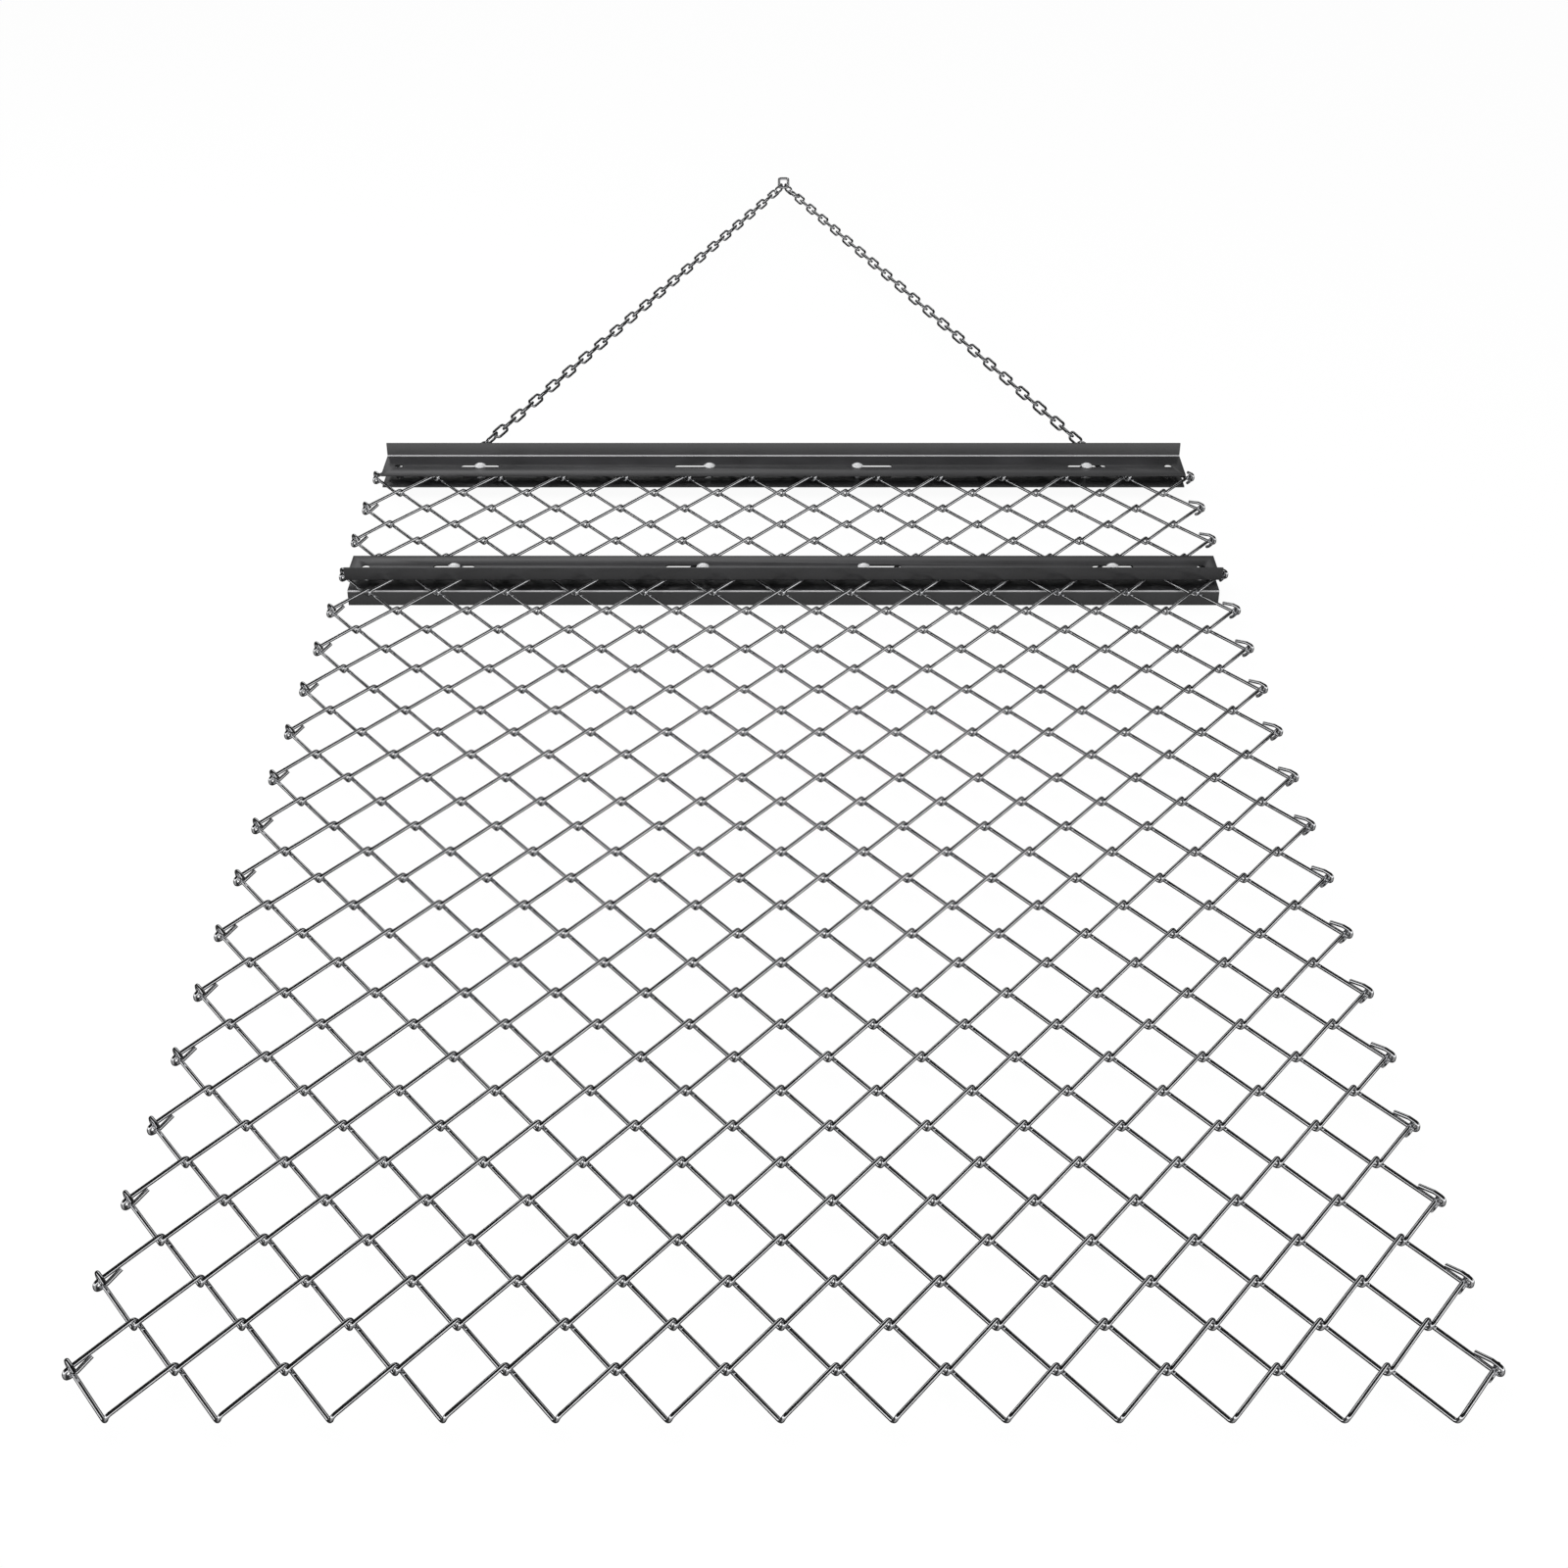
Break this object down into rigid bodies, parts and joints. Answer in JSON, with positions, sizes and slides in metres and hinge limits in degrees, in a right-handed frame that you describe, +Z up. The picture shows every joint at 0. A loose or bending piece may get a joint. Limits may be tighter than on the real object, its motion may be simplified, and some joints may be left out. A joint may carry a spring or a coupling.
{
  "type": "chain harrow",
  "caption": "Towed harrow: a woven steel wire mat clamped between bent steel bars, drawn by a V of link chain from one tow link.",
  "frame": {"origin": "centre of the harrow's bounding box, at the level of its lowest edges", "axes": "+X right, +Y forward towards the tow link, +Z up"},
  "size_m": [1.535, 3.5992, 0.0741],
  "materials": {
    "black_paint": "semi-gloss black powder coat",
    "wire_steel": "bright zinc plate",
    "chain_steel": "bright zinc plate",
    "bolt_steel": "bright zinc plate"
  },
  "bodies": {
    "front_bar": {"front_angle_upper": "black_paint", "front_angle_lower": "black_paint", "front_bolt_left_outer": "bolt_steel", "front_nut_left_outer": "bolt_steel", "front_bolt_left_inner": "bolt_steel", "front_nut_left_inner": "bolt_steel", "front_bolt_right_inner": "bolt_steel", "front_nut_right_inner": "bolt_steel", "front_bolt_right_outer": "bolt_steel", "front_nut_right_outer": "bolt_steel", "wire_01": "wire_steel", "wire_02": "wire_steel"},
    "mat_row_03": {"wire_03": "wire_steel"},
    "mat_row_04": {"wire_04": "wire_steel"},
    "mat_row_05": {"wire_05": "wire_steel"},
    "mat_row_06": {"wire_06": "wire_steel"},
    "levelling_bar": {"rear_angle_upper": "black_paint", "rear_angle_lower": "black_paint", "rear_bolt_left_outer": "bolt_steel", "rear_nut_left_outer": "bolt_steel", "rear_bolt_left_inner": "bolt_steel", "rear_nut_left_inner": "bolt_steel", "rear_bolt_right_inner": "bolt_steel", "rear_nut_right_inner": "bolt_steel", "rear_bolt_right_outer": "bolt_steel", "rear_nut_right_outer": "bolt_steel", "wire_07": "wire_steel", "wire_08": "wire_steel"},
    "mat_row_09": {"wire_09": "wire_steel"},
    "mat_row_10": {"wire_10": "wire_steel"},
    "mat_row_11": {"wire_11": "wire_steel"},
    "mat_row_12": {"wire_12": "wire_steel"},
    "mat_row_13": {"wire_13": "wire_steel"},
    "mat_row_14": {"wire_14": "wire_steel"},
    "mat_row_15": {"wire_15": "wire_steel"},
    "mat_row_16": {"wire_16": "wire_steel"},
    "mat_row_17": {"wire_17": "wire_steel"},
    "mat_row_18": {"wire_18": "wire_steel"},
    "mat_row_19": {"wire_19": "wire_steel"},
    "mat_row_20": {"wire_20": "wire_steel"},
    "mat_row_21": {"wire_21": "wire_steel"},
    "mat_row_22": {"wire_22": "wire_steel"},
    "mat_row_23": {"wire_23": "wire_steel"},
    "mat_row_24": {"wire_24": "wire_steel"},
    "mat_row_25": {"wire_25": "wire_steel"},
    "mat_row_26": {"wire_26": "wire_steel"},
    "mat_row_27": {"wire_27": "wire_steel"},
    "mat_row_28": {"wire_28": "wire_steel"},
    "mat_row_29": {"wire_29": "wire_steel"},
    "mat_row_30": {"wire_30": "wire_steel"},
    "mat_row_31": {"wire_31": "wire_steel"},
    "mat_row_32": {"wire_32": "wire_steel"},
    "mat_row_33": {"wire_33": "wire_steel"},
    "mat_row_34": {"wire_34": "wire_steel"},
    "mat_row_35": {"wire_35": "wire_steel"},
    "mat_row_36": {"wire_36": "wire_steel"},
    "tow_bridle": {"tow_chain_left": "chain_steel", "tow_chain_right": "chain_steel"},
    "tow_link": {"tow_link": "chain_steel"}
  },
  "joints": [
    {"name": "mat_row_03_hook", "type": "hinge", "parent": "front_bar", "child": "mat_row_03", "pos_m": [0, 0.20361, 0.03935], "axis": [1, 0, 0], "range_deg": [-25, 25]},
    {"name": "mat_row_04_hook", "type": "hinge", "parent": "mat_row_03", "child": "mat_row_04", "pos_m": [0, 0.14486, 0.03935], "axis": [-1, 0, 0], "range_deg": [-25, 25]},
    {"name": "mat_row_05_hook", "type": "hinge", "parent": "mat_row_04", "child": "mat_row_05", "pos_m": [0, 0.08611, 0.03935], "axis": [-1, 0, 0], "range_deg": [-25, 25]},
    {"name": "mat_row_06_hook", "type": "hinge", "parent": "mat_row_05", "child": "mat_row_06", "pos_m": [0, 0.02736, 0.03935], "axis": [1, 0, 0], "range_deg": [-25, 25]},
    {"name": "levelling_bar_hook", "type": "hinge", "parent": "mat_row_06", "child": "levelling_bar", "pos_m": [0, -0.03139, 0.03935], "axis": [1, 0, 0], "range_deg": [-25, 25]},
    {"name": "mat_row_09_hook", "type": "hinge", "parent": "levelling_bar", "child": "mat_row_09", "pos_m": [0, -0.14889, 0.03935], "axis": [-1, 0, 0], "range_deg": [-25, 25]},
    {"name": "mat_row_10_hook", "type": "hinge", "parent": "mat_row_09", "child": "mat_row_10", "pos_m": [0, -0.20764, 0.03935], "axis": [-1, 0, 0], "range_deg": [-25, 25]},
    {"name": "mat_row_11_hook", "type": "hinge", "parent": "mat_row_10", "child": "mat_row_11", "pos_m": [0, -0.26639, 0.03935], "axis": [1, 0, 0], "range_deg": [-25, 25]},
    {"name": "mat_row_12_hook", "type": "hinge", "parent": "mat_row_11", "child": "mat_row_12", "pos_m": [0, -0.32514, 0.03935], "axis": [1, 0, 0], "range_deg": [-25, 25]},
    {"name": "mat_row_13_hook", "type": "hinge", "parent": "mat_row_12", "child": "mat_row_13", "pos_m": [0, -0.38389, 0.03935], "axis": [-1, 0, 0], "range_deg": [-25, 25]},
    {"name": "mat_row_14_hook", "type": "hinge", "parent": "mat_row_13", "child": "mat_row_14", "pos_m": [0, -0.44264, 0.03935], "axis": [-1, 0, 0], "range_deg": [-25, 25]},
    {"name": "mat_row_15_hook", "type": "hinge", "parent": "mat_row_14", "child": "mat_row_15", "pos_m": [0, -0.50139, 0.03935], "axis": [1, 0, 0], "range_deg": [-25, 25]},
    {"name": "mat_row_16_hook", "type": "hinge", "parent": "mat_row_15", "child": "mat_row_16", "pos_m": [0, -0.56014, 0.03935], "axis": [1, 0, 0], "range_deg": [-25, 25]},
    {"name": "mat_row_17_hook", "type": "hinge", "parent": "mat_row_16", "child": "mat_row_17", "pos_m": [0, -0.61889, 0.03935], "axis": [-1, 0, 0], "range_deg": [-25, 25]},
    {"name": "mat_row_18_hook", "type": "hinge", "parent": "mat_row_17", "child": "mat_row_18", "pos_m": [0, -0.67764, 0.03935], "axis": [-1, 0, 0], "range_deg": [-25, 25]},
    {"name": "mat_row_19_hook", "type": "hinge", "parent": "mat_row_18", "child": "mat_row_19", "pos_m": [0, -0.73639, 0.03935], "axis": [1, 0, 0], "range_deg": [-25, 25]},
    {"name": "mat_row_20_hook", "type": "hinge", "parent": "mat_row_19", "child": "mat_row_20", "pos_m": [0, -0.79514, 0.03935], "axis": [1, 0, 0], "range_deg": [-25, 25]},
    {"name": "mat_row_21_hook", "type": "hinge", "parent": "mat_row_20", "child": "mat_row_21", "pos_m": [0, -0.85389, 0.03935], "axis": [-1, 0, 0], "range_deg": [-25, 25]},
    {"name": "mat_row_22_hook", "type": "hinge", "parent": "mat_row_21", "child": "mat_row_22", "pos_m": [0, -0.91264, 0.03935], "axis": [-1, 0, 0], "range_deg": [-25, 25]},
    {"name": "mat_row_23_hook", "type": "hinge", "parent": "mat_row_22", "child": "mat_row_23", "pos_m": [0, -0.97139, 0.03935], "axis": [1, 0, 0], "range_deg": [-25, 25]},
    {"name": "mat_row_24_hook", "type": "hinge", "parent": "mat_row_23", "child": "mat_row_24", "pos_m": [0, -1.03014, 0.03935], "axis": [1, 0, 0], "range_deg": [-25, 25]},
    {"name": "mat_row_25_hook", "type": "hinge", "parent": "mat_row_24", "child": "mat_row_25", "pos_m": [0, -1.08889, 0.03935], "axis": [-1, 0, 0], "range_deg": [-25, 25]},
    {"name": "mat_row_26_hook", "type": "hinge", "parent": "mat_row_25", "child": "mat_row_26", "pos_m": [0, -1.14764, 0.03935], "axis": [-1, 0, 0], "range_deg": [-25, 25]},
    {"name": "mat_row_27_hook", "type": "hinge", "parent": "mat_row_26", "child": "mat_row_27", "pos_m": [0, -1.20639, 0.03935], "axis": [1, 0, 0], "range_deg": [-25, 25]},
    {"name": "mat_row_28_hook", "type": "hinge", "parent": "mat_row_27", "child": "mat_row_28", "pos_m": [0, -1.26514, 0.03935], "axis": [1, 0, 0], "range_deg": [-25, 25]},
    {"name": "mat_row_29_hook", "type": "hinge", "parent": "mat_row_28", "child": "mat_row_29", "pos_m": [0, -1.32389, 0.03935], "axis": [-1, 0, 0], "range_deg": [-25, 25]},
    {"name": "mat_row_30_hook", "type": "hinge", "parent": "mat_row_29", "child": "mat_row_30", "pos_m": [0, -1.38264, 0.03935], "axis": [-1, 0, 0], "range_deg": [-25, 25]},
    {"name": "mat_row_31_hook", "type": "hinge", "parent": "mat_row_30", "child": "mat_row_31", "pos_m": [0, -1.44139, 0.03935], "axis": [1, 0, 0], "range_deg": [-25, 25]},
    {"name": "mat_row_32_hook", "type": "hinge", "parent": "mat_row_31", "child": "mat_row_32", "pos_m": [0, -1.50014, 0.03935], "axis": [1, 0, 0], "range_deg": [-25, 25]},
    {"name": "mat_row_33_hook", "type": "hinge", "parent": "mat_row_32", "child": "mat_row_33", "pos_m": [0, -1.55889, 0.03935], "axis": [-1, 0, 0], "range_deg": [-25, 25]},
    {"name": "mat_row_34_hook", "type": "hinge", "parent": "mat_row_33", "child": "mat_row_34", "pos_m": [0, -1.61764, 0.03935], "axis": [-1, 0, 0], "range_deg": [-25, 25]},
    {"name": "mat_row_35_hook", "type": "hinge", "parent": "mat_row_34", "child": "mat_row_35", "pos_m": [0, -1.67639, 0.03935], "axis": [1, 0, 0], "range_deg": [-25, 25]},
    {"name": "mat_row_36_hook", "type": "hinge", "parent": "mat_row_35", "child": "mat_row_36", "pos_m": [0, -1.73514, 0.03935], "axis": [1, 0, 0], "range_deg": [-25, 25]},
    {"name": "tow_bridle_lugs", "type": "hinge", "parent": "front_bar", "child": "tow_bridle", "pos_m": [0, 0.33927, 0.05385], "axis": [1, 0, 0], "range_deg": [-80, 90]},
    {"name": "tow_link_swing", "type": "hinge", "parent": "tow_bridle", "child": "tow_link", "pos_m": [0, 1.73524, 0.05385], "axis": [1, 0, 0], "range_deg": [-75, 75]}
  ]
}
